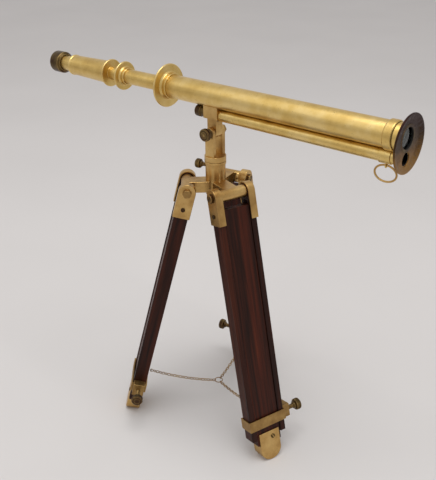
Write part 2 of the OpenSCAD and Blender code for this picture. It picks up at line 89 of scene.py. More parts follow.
def softbox(name, place, aim, size, power, colour="#FFFFFF"):
    """A rectangular soft light at place, pointing at aim."""
    data = bpy.data.lights.new(name, "AREA")
    data.shape = "RECTANGLE"
    data.size, data.size_y = size
    data.energy = power
    data.color = linear(colour)[:3]
    lamp = bpy.data.objects.new(name, data)
    lamp.location = place
    lamp.rotation_mode = "QUATERNION"
    lamp.rotation_quaternion = (Vector(aim) - Vector(place)).to_track_quat("-Z", "Y")
    bpy.context.collection.objects.link(lamp)


def studio():
    """A pale paper floor, a wide soft key light, a lamp above the table and an even grey room."""
    bpy.ops.mesh.primitive_plane_add(size=30)
    floor = bpy.context.object
    floor.name = "floor"
    floor.data.materials.append(paper_floor())
    softbox("key", (-0.8, -1.2, 2.3), (0, 0, 0.25), (2.6, 2.6), KEY_POWER)
    softbox("lamp", (0.25, -0.1, 1.9), (-0.2, -0.1, 0), (1.0, 1.0), LAMP_POWER)
    world = bpy.data.worlds.new("studio")
    world.use_nodes = True
    room = world.node_tree.nodes["Background"]
    room.inputs["Color"].default_value = linear("#D2D0D0")
    room.inputs["Strength"].default_value = ROOM_STRENGTH
    bpy.context.scene.world = world
    bpy.context.scene.view_settings.view_transform = "Standard"


# ---------------------------------------------------------------- materials

NOISE, RAMP, RANGE = "ShaderNodeTexNoise", "ShaderNodeValToRGB", "ShaderNodeMapRange"
MIX, BUMP, MAPPING = "ShaderNodeMix", "ShaderNodeBump", "ShaderNodeMapping"


def linear(code):
    """An sRGB hex colour as the linear RGBA that a shader wants."""
    srgb = np.array([int(code[i:i + 2], 16) for i in (1, 3, 5)]) / 255
    flat = np.where(srgb <= 0.04045, srgb / 12.92, ((srgb + 0.055) / 1.055) ** 2.4)
    return (*flat, 1.0)


def add(tree, kind, settings, wires=None, **links):
    """Adds a shader node.

    settings holds attributes and unlinked inputs, with a colour ramp's stops as (place, colour code)
    pairs, and a map range's span as its range in and its range out. links holds input sockets by name,
    and wires holds them by number where several have one name.
    """
    node = tree.nodes.new(kind)
    for key, value in settings.items():
        if key == "stops":
            elements = node.color_ramp.elements
            while len(elements) < len(value):
                elements.new(0.5)
            for element, (place, code) in zip(elements, value):
                element.position = place
                element.color = linear(code)
        elif key == "span":
            for name, limit in zip(("From Min", "From Max", "To Min", "To Max"), value):
                node.inputs[name].default_value = limit
        elif key in node.inputs:
            node.inputs[key].default_value = value
        else:
            setattr(node, key, value)
    for key, socket in links.items():
        tree.links.new(socket, node.inputs[key.replace("_", " ")])
    for number, socket in (wires or {}).items():
        tree.links.new(socket, node.inputs[number])
    return node


def start_material(name):
    """A new material: its tree, its shader and its Object coordinates."""
    material = bpy.data.materials.new(name)
    material.use_nodes = True
    tree = material.node_tree
    place = add(tree, "ShaderNodeTexCoord", {}).outputs["Object"]
    return material, tree, tree.nodes["Principled BSDF"], place


def finish_metal(tree, shader, tone, fine, rubbed, share, gloss, relief, height, metallic):
    """The rest of an old metal: tone, with its corners rubbed bright, its gloss and its fine relief.

    rubbed is the two colours of the corners, share how far they replace tone, and gloss the roughness
    between the smooth and the rough places of fine. relief is the bump's strength and depth in metres.
    """
    wear = add(tree, "ShaderNodeAttribute", {"attribute_name": "wear"}).outputs["Fac"]
    amount = add(tree, RANGE, {"span": (0.0, 1.0, 0.0, share)}, Value=wear)
    bright = add(tree, RAMP, {"stops": tuple(zip((0.3, 0.7), rubbed))}, Fac=fine)
    worn = add(
        tree, MIX, {"data_type": "RGBA"},
        {0: amount.outputs["Result"], 6: tone, 7: bright.outputs["Color"]})
    rough = add(tree, RANGE, {"span": (0.3, 0.7, *gloss)}, Value=fine)
    strength, depth = relief
    bump = add(tree, BUMP, {"Strength": strength, "Distance": depth}, Height=height)
    tree.links.new(worn.outputs[2], shader.inputs["Base Color"])
    tree.links.new(rough.outputs["Result"], shader.inputs["Roughness"])
    tree.links.new(bump.outputs["Normal"], shader.inputs["Normal"])
    shader.inputs["Metallic"].default_value = metallic


def brass(name, shades, gloss, relief, lines=None):
    """Yellow brass, turned or cast, polished by hand and lacquered, then handled for years.

    shades is dull, plain and bright: slow patches about 20 mm across where the lacquer has aged.
    gloss is the roughness of the smooth and of the rubbed places. Fine scratches give a soft, uneven
    shine. Corners are worn bright where a piece carries a wear attribute. relief is how strongly the
    surface stands up, and lines stretches it into turning marks round an axis.
    """
    material, tree, shader, place = start_material(name)
    patches = add(
        tree, NOISE, {"Scale": 48.0, "Detail": 5.0, "Roughness": 0.6}, Vector=place).outputs["Fac"]
    rubs = add(
        tree, NOISE, {"Scale": 310.0, "Detail": 4.0, "Roughness": 0.7}, Vector=place).outputs["Fac"]
    tone = add(tree, RAMP, {"stops": tuple(zip((0.32, 0.48, 0.66), shades))}, Fac=patches)
    # dark specks of tarnish, about 1 mm across, in a few places
    specks = add(tree, NOISE, {"Scale": 760.0, "Detail": 2.0}, Vector=place)
    amount = add(tree, RANGE, {"span": (0.66, 0.74, 0.0, 0.55)}, Value=specks.outputs["Fac"])
    tarnish = add(tree, RAMP, {"stops": ((0.0, "#6B5230"), (1.0, "#7A6038"))}, Fac=patches)
    spotted = add(
        tree, MIX, {"data_type": "RGBA"},
        {0: amount.outputs["Result"], 6: tone.outputs["Color"], 7: tarnish.outputs["Color"]})
    height = rubs
    if lines is not None:
        # real turning marks are finer than 0.1 mm, these stand 0.4 mm apart so that they show
        stretch = add(tree, MAPPING, {"Scale": lines}, Vector=place).outputs["Vector"]
        height = add(tree, NOISE, {"Scale": 2500.0, "Detail": 1.0}, Vector=stretch).outputs["Fac"]
    finish_metal(
        tree, shader, spotted.outputs[2], rubs, (shades[2], "#F0DDAE"), 0.6, gloss, (relief, 0.00005),
        height, 1.0)
    return material


def dark_bronze():
    """Brass patinated brown and waxed: maroon and olive patches, rubbed to gold on worn corners."""
    material, tree, shader, place = start_material("dark_bronze")
    patches = add(tree, NOISE, {"Scale": 62.0, "Detail": 5.0, "Roughness": 0.62}, Vector=place)
    fine = add(tree, NOISE, {"Scale": 520.0, "Detail": 3.0}, Vector=place).outputs["Fac"]
    stops = ((0.32, "#33201A"), (0.45, "#45301F"), (0.56, "#554528"), (0.7, "#705A33"))
    tone = add(tree, RAMP, {"stops": stops}, Fac=patches.outputs["Fac"])
    finish_metal(
        tree, shader, tone.outputs["Color"], fine, ("#8C7042", "#C8A76C"), 0.75, (0.24, 0.46),
        (0.12, 0.00006), fine, 0.9)
    return material


def dish_bronze_painted_shade():
    """The front dish: patinated brass with painted shade and reflection in its colour: dark maroon painted over
    its upper part, olive beside, golden brown painted below as lit reflection.

    The tone follows the height over the floor, a painted darkening towards the top, broken up by patches of tone
    about 10 mm across.
    """
    material, tree, shader, place = start_material("dish_bronze_painted_shade")
    patches = add(tree, NOISE, {"Scale": 95.0, "Detail": 4.0, "Roughness": 0.6}, Vector=place)
    fine = add(tree, NOISE, {"Scale": 520.0, "Detail": 3.0}, Vector=place).outputs["Fac"]
    height = add(tree, "ShaderNodeSeparateXYZ", {}, Vector=place).outputs["Z"]
    # painted shade and reflection: the colour goes from golden brown at the bottom of the dish to maroon at its
    # top
    level = add(tree, RANGE, {"span": (0.356, 0.408, 0.0, 1.0)}, Value=height).outputs["Result"]
    shade_and_patches = add(
        tree, MIX, {"data_type": "FLOAT", "Factor": 0.3}, A=level, B=patches.outputs["Fac"])
    stops = ((0.22, "#9A7440"), (0.36, "#7C5A2E"), (0.5, "#4A3620"), (0.62, "#38241C"), (0.76, "#351C18"))
    tone = add(tree, RAMP, {"stops": stops}, Fac=shade_and_patches.outputs["Result"])
    finish_metal(
        tree, shader, tone.outputs["Color"], fine, ("#8C7042", "#C8A76C"), 0.75, (0.26, 0.46),
        (0.1, 0.00006), fine, 0.9)
    return material


def optical_black():
    """Matte black paint with a fine grain, as the inside of a telescope has to stop stray light."""
    material, tree, shader, place = start_material("optical_black")
    grain = add(tree, NOISE, {"Scale": 1400.0, "Detail": 2.0}, Vector=place).outputs["Fac"]
    tone = add(tree, RAMP, {"stops": ((0.3, "#0D0C0B"), (0.7, "#1D1A17"))}, Fac=grain)
    rough = add(tree, RANGE, {"span": (0.0, 1.0, 0.6, 0.85)}, Value=grain)
    bump = add(tree, BUMP, {"Strength": 0.3, "Distance": 0.00005}, Height=grain)
    tree.links.new(tone.outputs["Color"], shader.inputs["Base Color"])
    tree.links.new(rough.outputs["Result"], shader.inputs["Roughness"])
    tree.links.new(bump.outputs["Normal"], shader.inputs["Normal"])
    return material


def rosewood(name, leg, tones):
    """Rosewood, planed, stained dark and waxed.

    Grain runs down the leg in streaks of near black and dull red, with fine open pores that break up
    the satin shine. tones are four colours from the darkest streak to the lightest.
    """
    material, tree, shader, place = start_material(name)
    across, out, down = leg_axes(leg)
    turn = Matrix((out, across, -down)).to_4x4().to_euler()
    local = add(tree, MAPPING, {"Rotation": turn}, Vector=place).outputs["Vector"]
    # streaks about 3 mm wide and 80 mm long, and broader bands of 12 mm
    streaks = add(tree, MAPPING, {"Scale": (1.0, 1.0, 0.035)}, Vector=local).outputs["Vector"]
    fine = add(
        tree, NOISE, {"Scale": 330.0, "Detail": 5.0, "Roughness": 0.62, "Distortion": 0.5},
        Vector=streaks).outputs["Fac"]
    broad = add(
        tree, NOISE, {"Scale": 80.0, "Detail": 2.0, "Distortion": 0.8}, Vector=streaks).outputs["Fac"]
    figure = add(tree, MIX, {"data_type": "FLOAT", "Factor": 0.5}, A=fine, B=broad)
    stops = tuple(zip((0.36, 0.46, 0.55, 0.67), tones))
    tone = add(tree, RAMP, {"stops": stops}, Fac=figure.outputs["Result"])
    # open pores, 0.4 mm across and a few millimetres long
    stretched = add(tree, MAPPING, {"Scale": (1.0, 1.0, 0.07)}, Vector=local).outputs["Vector"]
    pores = add(tree, NOISE, {"Scale": 1500.0, "Detail": 2.0}, Vector=stretched).outputs["Fac"]
    rough = add(tree, RANGE, {"span": (0.3, 0.7, 0.32, 0.6)}, Value=pores)
    bump = add(tree, BUMP, {"Strength": 0.3, "Distance": 0.0001}, Height=pores)
    tree.links.new(tone.outputs["Color"], shader.inputs["Base Color"])
    tree.links.new(rough.outputs["Result"], shader.inputs["Roughness"])
    tree.links.new(bump.outputs["Normal"], shader.inputs["Normal"])
    shader.inputs["Specular IOR Level"].default_value = 0.18
    return material


def optical_glass():
    """Crown glass, ground and polished: green grey against the dark bore, with a few specks of dust."""
    material, tree, shader, place = start_material("optical_glass")
    dust = add(tree, NOISE, {"Scale": 900.0, "Detail": 2.0}, Vector=place).outputs["Fac"]
    rough = add(tree, RANGE, {"span": (0.0, 1.0, 0.0, 0.06)}, Value=dust)
    tone = add(tree, RAMP, {"stops": ((0.3, "#7F8F88"), (0.8, "#A3B2AC"))}, Fac=dust)
    tree.links.new(rough.outputs["Result"], shader.inputs["Roughness"])
    tree.links.new(tone.outputs["Color"], shader.inputs["Base Color"])
    shader.inputs["IOR"].default_value = 1.52
    shader.inputs["Specular IOR Level"].default_value = 0.15
    shader.inputs["Transmission Weight"].default_value = 1.0
    return material


def paper_floor():
    """Pale paper sweep, matte, with a barely visible mottle."""
    material, tree, shader, place = start_material("paper_floor")
    mottle = add(tree, NOISE, {"Scale": 3.0, "Detail": 2.0}, Vector=place).outputs["Fac"]
    tone = add(tree, RAMP, {"stops": ((0.3, "#D2CFCD"), (0.7, "#D5D2D0"))}, Fac=mottle)
    tree.links.new(tone.outputs["Color"], shader.inputs["Base Color"])
    shader.inputs["Roughness"].default_value = 0.9
    return material


# ---------------------------------------------------------------- shapes


def leg_axes(leg):
    """Unit vectors of a leg: across it, out of its front face, and down it."""
    across = np.array(JOINTS[f"leg_{leg}_fold"]["axis"], float)
    down = np.array(JOINTS[f"slider_{leg}_slide"]["axis"], float)
    return across, np.cross(down, across) * -1, down


def on_leg(leg, out, across, down):
    """A point of a leg, in metres, from its place in millimetres from the hinge."""
    along_across, along_out, along_down = leg_axes(leg)
    hinge = np.array(JOINTS[f"leg_{leg}_fold"]["pos_m"], float)
    return hinge + MM * (out * along_out + across * along_across + down * along_down)


def size_of(node):
    """A node's lowest and highest corners in millimetres."""
    low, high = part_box(node)
    return np.array(low) / MM, np.array(high) / MM


def rounded(points, radius, closed=True, steps=4):
    """A profile with its corners rounded.

    Each corner P becomes the curve (1-s)^2 A + 2s(1-s) P + s^2 B, where A and B lie on the edges
    beside it. Returns the points, and 1 in the middle of a corner down to 0 at its ends.
    """
    corners = np.asarray(points, float)
    before = np.roll(corners, 1, 0) - corners
    after = np.roll(corners, -1, 0) - corners
    before_len = np.linalg.norm(before, axis=1, keepdims=True)
    after_len = np.linalg.norm(after, axis=1, keepdims=True)
    reach = np.minimum(radius, 0.45 * np.minimum(before_len, after_len))
    if not closed:
        reach[[0, -1]] = 0
    first = (corners + before / before_len * reach)[:, None]
    last = (corners + after / after_len * reach)[:, None]
    s = np.linspace(0, 1, steps + 1)[None, :, None]
    curve = (1 - s) ** 2 * first + 2 * s * (1 - s) * corners[:, None] + s ** 2 * last
    bend = np.tile(1 - np.abs(2 * s[0, :, 0] - 1), len(corners))
    return curve.reshape(-1, 2), bend


def grid_faces(rows, columns, wrap_rows, wrap_columns=True):
    """Four-sided faces of a grid of points, numbered row by row."""
    row = np.arange(rows if wrap_rows else rows - 1)[:, None]
    column = np.arange(columns if wrap_columns else columns - 1)[None, :]
    next_row = (row + 1) % rows
    next_column = (column + 1) % columns
    corners = (
        row * columns + column, next_row * columns + column,
        next_row * columns + next_column, row * columns + next_column)
    return np.stack(np.broadcast_arrays(*corners), -1).reshape(-1, 4)


def make_piece(name, points, faces, material, body, nodes=(), wear=None, smooth_to=40):
    """A mesh object from arrays of points and faces. It rides on body and stands for nodes."""
    mesh = bpy.data.meshes.new(name)
    mesh.from_pydata(points.reshape(-1, 3), [], faces.tolist())
    if wear is not None:
        mesh.attributes.new("wear", "FLOAT", "POINT").data.foreach_set("value", wear.ravel())
    welded = bmesh.new()
    welded.from_mesh(mesh)
    bmesh.ops.remove_doubles(welded, verts=welded.verts, dist=1e-7)
    bmesh.ops.dissolve_degenerate(welded, edges=welded.edges, dist=1e-8)
    bmesh.ops.recalc_face_normals(welded, faces=welded.faces)
    welded.to_mesh(mesh)
    welded.free()
    mesh.materials.append(material)
    mesh.shade_smooth()
    mesh.set_sharp_from_angle(angle=np.radians(smooth_to))
    piece = bpy.data.objects.new(name, mesh)
    bpy.context.collection.objects.link(piece)
    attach(piece, body)
    if nodes:
        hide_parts(*nodes)
    return piece


def blacken(piece, origin, axis, material):
    """Gives material to the faces that look towards the axis, the bore of a turned piece."""
    mesh = piece.data
    count = len(mesh.polygons)
    middle = np.empty(count * 3)
    normal = np.empty(count * 3)
    mesh.polygons.foreach_get("center", middle)
    mesh.polygons.foreach_get("normal", normal)
    arm = middle.reshape(-1, 3) - origin
    arm -= (arm @ axis)[:, None] * axis
    inward = np.sum(arm * normal.reshape(-1, 3), axis=1) < -0.5 * np.linalg.norm(arm, axis=1)
    mesh.materials.append(material)
    mesh.polygons.foreach_set("material_index", inward.astype(np.int32))


def turned(
        name, nodes, origin, axis, profile, material, corner=0.3, closed=True, bore=None, sides=160,
        flutes=None, thread=None, body=None):
    """A turned piece: (distance, radius) points carried round an axis.

    Point = origin + x axis + r (cos t u + sin t v), with u and v square to the axis. flutes is
    (from, to, count, depth): there the rim sinks by depth in a cosine of count waves. thread is
    (from, to, pitch, depth): there the radius follows a cosine that climbs one pitch a turn.
    """
    outline, bend = rounded(profile, corner, closed)
    along, radius = outline[:, :1], outline[:, 1:]
    angle = np.linspace(0, 2 * np.pi, sides, endpoint=False)[None, :]
    reach = np.repeat(radius, sides, axis=1)
    if flutes is not None:
        first, last, count, depth = flutes
        inside = (along > first) & (along < last) & (radius > 0.9 * radius.max())
        reach = reach - np.where(inside, depth * (0.5 - 0.5 * np.cos(count * angle)), 0)
    if thread is not None:
        first, last, pitch, depth = thread
        inside = (along > first) & (along < last)
        climb = 2 * np.pi * along / pitch - angle
        reach = reach - np.where(inside, depth * (0.5 - 0.5 * np.cos(climb)), 0)
    axis = np.array(axis, float)
    side = np.cross(axis, Z if abs(axis[2]) < 0.9 else X)
    side /= np.linalg.norm(side)
    other = np.cross(axis, side)
    origin = np.array(origin, float)
    points = (
        origin + MM * along[..., None] * axis
        + MM * (reach * np.cos(angle))[..., None] * side + MM * (reach * np.sin(angle))[..., None] * other)
    wear = np.repeat(bend[:, None], sides, axis=1)
    faces = grid_faces(len(outline), sides, wrap_rows=closed)
    piece = make_piece(name, points, faces, material, body or BODY_OF[nodes[0]], nodes, wear)
    if bore is not None:
        blacken(piece, origin, axis, bore)
    return piece


def wire_loops(middles, ahead, normal, half_len, half_wide, wire_r, steps=24, sides=10):
    """Closed loops of round wire, one for each row of middles.

    The wire's centre runs along an ellipse, half_len ahead and half_wide to the side, square to
    normal. Its circle lies in the plane of normal and the ellipse's own outward direction.
    """
    side = np.cross(normal, ahead)
    t = np.linspace(0, 2 * np.pi, steps, endpoint=False)
    p = np.linspace(0, 2 * np.pi, sides, endpoint=False)
    middles, ahead, side, normal = (v[:, None, None, :] for v in (middles, ahead, side, normal))
    along, wide = np.cos(t)[None, :, None, None], np.sin(t)[None, :, None, None]
    outward = along * half_wide * ahead + wide * half_len * side
    outward = outward / np.linalg.norm(outward, axis=-1, keepdims=True)
    centre = middles + MM * (along * half_len * ahead + wide * half_wide * side)
    ring = np.cos(p)[None, None, :, None] * outward + np.sin(p)[None, None, :, None] * normal
    points = centre + MM * wire_r * ring
    one = grid_faces(steps, sides, wrap_rows=True)
    shift = np.arange(len(middles))[:, None, None] * steps * sides
    return points, (one[None] + shift).reshape(-1, 4)


def screw_head(name, middle, outward, slot_turn, radius, height, material, body):
    """A domed screw head with a slot.

    Over a disc of points x = u R, y = v sqrt(R^2 - x^2), the height is a shallow dome, and in the
    slot |x| < 0.16 R it drops. The rim is carried straight down to the surface and closed below.
    """
    slot = 0.16
    u = -np.cos(np.linspace(0, np.pi / 2, 9))[:-1] * (1 - slot) - slot
    u = np.concatenate([u, [-slot, -slot * 0.9]])
    u = np.concatenate([u, [0], -u[::-1]])[:, None]
    v = np.sin(np.linspace(-np.pi / 2, np.pi / 2, 17))[None, :]
    x = u * np.ones_like(v)
    y = v * np.sqrt(np.clip(1 - u ** 2, 0, 1))
    rise = 0.45 + 0.55 * np.sqrt(np.clip(1 - 0.9 * (x ** 2 + y ** 2), 0, 1))
    rise = np.where(np.abs(u) < slot * 0.95, rise - 0.4, rise)
    x, y = (np.pad(a, ((0, 0), (1, 1)), mode="edge") for a in (x, y))
    rise = np.pad(rise, ((0, 0), (1, 1)), constant_values=0.0)
    outward = np.array(outward, float)
    side = np.cross(outward, Z if abs(outward[2]) < 0.9 else X)
    side /= np.linalg.norm(side)
    other = np.cross(outward, side)
    ahead = np.cos(slot_turn) * side + np.sin(slot_turn) * other
    beside = np.cross(outward, ahead)
    points = (
        np.array(middle, float) + MM * radius * (x[..., None] * ahead + y[..., None] * beside)
        + MM * height * rise[..., None] * outward)
    rows, columns = x.shape
    faces = grid_faces(rows, columns, wrap_rows=False)
    return make_piece(name, points, faces, material, body, smooth_to=30)


def softened(node, width, material, segments=2):
    """A copy of a CAD node, its triangles joined and its sharp edges rounded by a bevel.

    Only outer edges longer than 0.4 mm are rounded, so that thin wire keeps its shape.
    """
    mesh = frame["nodes"][node].data.copy()
    joined = bmesh.new()
    joined.from_mesh(mesh)
    bmesh.ops.remove_doubles(joined, verts=joined.verts, dist=2e-6)
    bmesh.ops.dissolve_limit(
        joined, angle_limit=np.radians(0.5), verts=joined.verts, edges=joined.edges)
    weight = joined.edges.layers.float.new("bevel_weight_edge")
    for edge in joined.edges:
        sharp = len(edge.link_faces) == 2 and edge.calc_face_angle_signed() > np.radians(35)
        edge[weight] = float(sharp and edge.calc_length() > 0.4 * MM)
    joined.to_mesh(mesh)
    joined.free()
    mesh.materials.clear()
    mesh.materials.append(material)
    mesh.shade_smooth()
    mesh.set_sharp_from_angle(angle=np.radians(35))
    piece = bpy.data.objects.new(f"soft_{node}", mesh)
    bpy.context.collection.objects.link(piece)
    bevel = piece.modifiers.new("edges", "BEVEL")
    bevel.width = width * MM
    bevel.segments = segments
    bevel.limit_method = "WEIGHT"
    bevel.use_clamp_overlap = False
    bevel.loop_slide = False
    even = piece.modifiers.new("normals", "WEIGHTED_NORMAL")
    even.keep_sharp = True
    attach(piece, BODY_OF[node])
    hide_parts(node)
    return piece


# ---------------------------------------------------------------- the telescope


def lens(name, node, middle_h, front_bulge, back_bulge):
    """A lens turned round the barrel's axis: each face is x = edge + b (1 - (r/R)^2), b its bulge."""
    low, high = size_of(node)
    rim = (high[2] - low[2]) / 2
    r = np.linspace(0, rim, 14)
    back_edge = low[0] + max(back_bulge, 0)
    front_edge = high[0] - max(front_bulge, 0)
    back = np.column_stack([back_edge - back_bulge * (1 - (r / rim) ** 2), r])
    front = np.column_stack([front_edge + front_bulge * (1 - (r / rim) ** 2), r])
    profile = np.concatenate([back, front[::-1]])
    turned(name, [node], (0, 0, middle_h), X, profile, GLASS, corner=0, closed=False, sides=96)


def barrels():
    """The two barrels with their collars, cells and lenses, and the dish and flange at their ends."""
    low, high = size_of("main_barrel")
    rear, front, barrel_r = low[0], high[0], (high[2] - low[2]) / 2
    bore_r = barrel_r - 1
    axis = (0, 0, MAIN_H)
    turned(
        "barrel_tube", ["main_barrel"], axis, X,
        [(rear, bore_r), (rear, barrel_r), (front, barrel_r), (front, bore_r)], TURNED, bore=BLACK)
    softened("front_collar", 0.3, TURNED)
    low, high = size_of("objective_cell")
    back, end = low[0], high[0]
    lens_r = (size_of("objective_crown")[1][2] - size_of("objective_crown")[0][2]) / 2
    turned(
        "lens_cell", ["objective_cell"], axis, X,
        [(back, lens_r), (back, bore_r), (end - 1, bore_r), (end - 1, barrel_r), (end, barrel_r),
         (end, lens_r - 1), (end - 1.5, lens_r - 1), (end - 1.5, lens_r)], BRONZE, corner=0.25, bore=BLACK)
    low, high = size_of("objective_ring")
    turned(
        "lens_ring", ["objective_ring"], axis, X,
        [(low[0], lens_r - 1.5), (low[0], lens_r), (high[0], lens_r), (high[0], lens_r - 1.5)],
        BLACK, flutes=(low[0] - 1, high[0] + 1, 48, 0.1))
    lens("crown_lens", "objective_crown", MAIN_H, 0.9, 0.9)
    lens("flint_lens", "objective_flint", MAIN_H, -0.9, 0)

    low, high = size_of("rear_flange")
    back, end, rim_r = low[0], high[0], (high[2] - low[2]) / 2
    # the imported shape's rear bead stands 1.2 mm behind the flange's own face
    face = back + 1.2
    draw_r = (size_of("draw_tube")[1][2] - size_of("draw_tube")[0][2]) / 2
    turned(
        "barrel_flange", ["rear_flange"], axis, X,
        [(face, draw_r + 0.3), (face, draw_r + 4), (back, draw_r + 5), (face, draw_r + 6),
         (face, rim_r - 3.4), (face + 0.5, rim_r - 2.8), (face, rim_r - 2.2), (face, rim_r - 0.7),
         (face + 0.7, rim_r), (face + 1.5, rim_r), (face + 2.2, rim_r - 0.7), (face + 2.2, barrel_r + 3),
         (face + 3.7, barrel_r + 1.4), (end, barrel_r + 1.4), (end, barrel_r), (face + 2.2, barrel_r),
         (face + 2.2, draw_r + 0.3)], TURNED, corner=0.4, sides=192)
    low, high = size_of("draw_guide")
    turned(
        "guide_sleeve", ["draw_guide"], axis, X,
        [(low[0], draw_r + 0.05), (low[0], bore_r), (high[0], bore_r), (high[0], draw_r + 0.05)], TURNED)

    low, high = size_of("finder_barrel")
    rear, front, finder_r = low[0], high[0], (high[2] - low[2]) / 2
    axis = (0, 0, FINDER_H)
    turned(
        "finder_tube", ["finder_barrel"], axis, X,
        [(rear, finder_r - 0.6), (rear, finder_r), (front, finder_r), (front, finder_r - 0.6)],
        TURNED, bore=BLACK, sides=96)
    lens("finder_lens", "finder_objective", FINDER_H, 0.33, 0.33)
    low, high = size_of("finder_eyepiece")
    back, end, head_r = low[0], high[0], (high[2] - low[2]) / 2
    head = 9
    sleeve_r = finder_r - 0.65
    turned(
        "finder_ocular", ["finder_eyepiece"], axis, X,
        [(back + 1.5, 2.6), (back, head_r - 1), (back + 1, head_r), (back + head - 2, head_r),
         (back + head, head_r - 1.4), (back + head, sleeve_r), (end, sleeve_r), (end, 2.6)],
        BRONZE, bore=BLACK, sides=144, flutes=(back + 1.4, back + head - 2.2, 36, 0.35))
    softened("finder_collar", 0.3, TURNED)
    softened("front_dish", 0.35, DISH_PAINTED_SHADE)
    softened("saddle", 0.5, CAST)


def drawn_tubes():
    """The draw tube with its flange, stop and erector lenses, and the eyepiece with its cup."""
    axis = (0, 0, MAIN_H)
    low, high = size_of("draw_tube")
    rear, front, draw_r = low[0], high[0], (high[2] - low[2]) / 2
    bore_r = draw_r - 0.7
    turned(
        "draw_barrel", ["draw_tube"], axis, X,
        [(rear, bore_r), (rear, draw_r), (front, draw_r), (front, bore_r)], TURNED, bore=BLACK, sides=128)
    low, high = size_of("draw_flange")
    back, end, rim_r = low[0], high[0], (high[2] - low[2]) / 2
    turned(
        "draw_collar", ["draw_flange"], axis, X,
        [(back, draw_r), (back, rim_r - 0.6), (back + 0.6, rim_r), (back + 1.6, rim_r),
         (back + 2.2, rim_r - 0.6), (back + 2.2, draw_r + 2.4), (back + 3.6, draw_r + 1.2),
         (end, draw_r + 1.2), (end, draw_r)], TURNED, corner=0.4)
    low, high = size_of("draw_stop")
    stop_r = (high[2] - low[2]) / 2
    turned(
        "stop_ring", ["draw_stop"], axis, X,
        [(low[0], draw_r), (low[0], stop_r), (high[0], stop_r), (high[0], draw_r)], BLACK)
    lens("front_erector", "erector_front", MAIN_H, 1.0, 1.0)
    lens("rear_erector", "erector_rear", MAIN_H, 1.0, 1.0)

    low, high = size_of("eyepiece_barrel")
    neck_end, tube_end, flange_r = low[0], high[0], (high[2] - low[2]) / 2
    tube_r = bore_r - 0.05
    inner_r = tube_r - 1
    flange = tube_end - 40.5
    wide_r, narrow_r, neck_r = 12.4, 10.9, 8.4
    taper_end = neck_end + 19
    turned(
        "eyepiece_tube", ["eyepiece_barrel"], axis, X,
        [(tube_end, inner_r), (tube_end, tube_r), (flange + 2.2, tube_r), (flange + 2.2, flange_r - 0.6),
         (flange + 1.6, flange_r), (flange + 0.6, flange_r), (flange, flange_r - 0.6),
         (flange, wide_r + 0.8),
         (flange - 3, wide_r + 0.8), (flange - 4, wide_r), (taper_end + 3, narrow_r),
         (taper_end + 2, narrow_r + 0.7), (taper_end + 0.6, narrow_r + 0.7), (taper_end, narrow_r),
         (taper_end - 1, neck_r), (neck_end, neck_r), (neck_end, inner_r), (taper_end + 2, inner_r),
         (taper_end + 4, narrow_r - 1.4), (flange - 2, wide_r - 1.4), (flange, inner_r)],
        TURNED, corner=0.35, bore=BLACK)
    low, high = size_of("eye_cup")
    back, end, cup_r = low[0], high[0], (high[2] - low[2]) / 2
    turned(
        "eye_rest", ["eye_cup"], axis, X,
        [(end, neck_r), (end, neck_r + 1.4), (end - 2.4, cup_r), (back + 0.8, cup_r), (back, cup_r - 0.8),
         (back, cup_r - 2), (end - 5, inner_r - 1), (end - 3, inner_r - 1), (end - 3, neck_r)],
        BRONZE, corner=0.6, bore=BLACK)
    lens("rear_field_lens", "field_lens", MAIN_H, 0.9, 0.9)
    lens("rear_eye_lens", "eye_lens", MAIN_H, 1.1, 1.1)


def hanging_ring():
    """A flattened ring of round wire in the plane of the barrels, hung in the finder collar's eye."""
    low, high = size_of("hanging_ring")
    wire_r = (high[1] - low[1]) / 2
    half_len, half_high = (high[0] - low[0]) / 2 - wire_r, (high[2] - low[2]) / 2 - wire_r
    middle = MM * (low + high)[None, :] / 2
    points, faces = wire_loops(
        middle, X[None, :], Y[None, :], half_len, half_high, wire_r, steps=96, sides=20)
    make_piece("ring_wire", points, faces, CAST, BODY_OF["hanging_ring"], ["hanging_ring"])


# ---------------------------------------------------------------- the head


def knob_profile(start, length, rim_r, stem_r):
    """A turned knob from start on: a foot, a waist, a fluted rim and a shallow dome, open at both ends."""
    return [
        (start, stem_r), (start, rim_r * 0.55), (start + length * 0.2, rim_r * 0.55),
        (start + length * 0.3, rim_r * 0.92), (start + length * 0.38, rim_r),
        (start + length * 0.85, rim_r),
        (start + length * 0.95, rim_r * 0.86), (start + length * 0.96, rim_r * 0.5), (start + length, 0)]


def stem(first, last, radius, steps):
    """Points along a plain round stem, from its closed tip on, close enough together for a thread."""
    return [(first, 0), *[(x, radius) for x in np.linspace(first, last, steps)]]


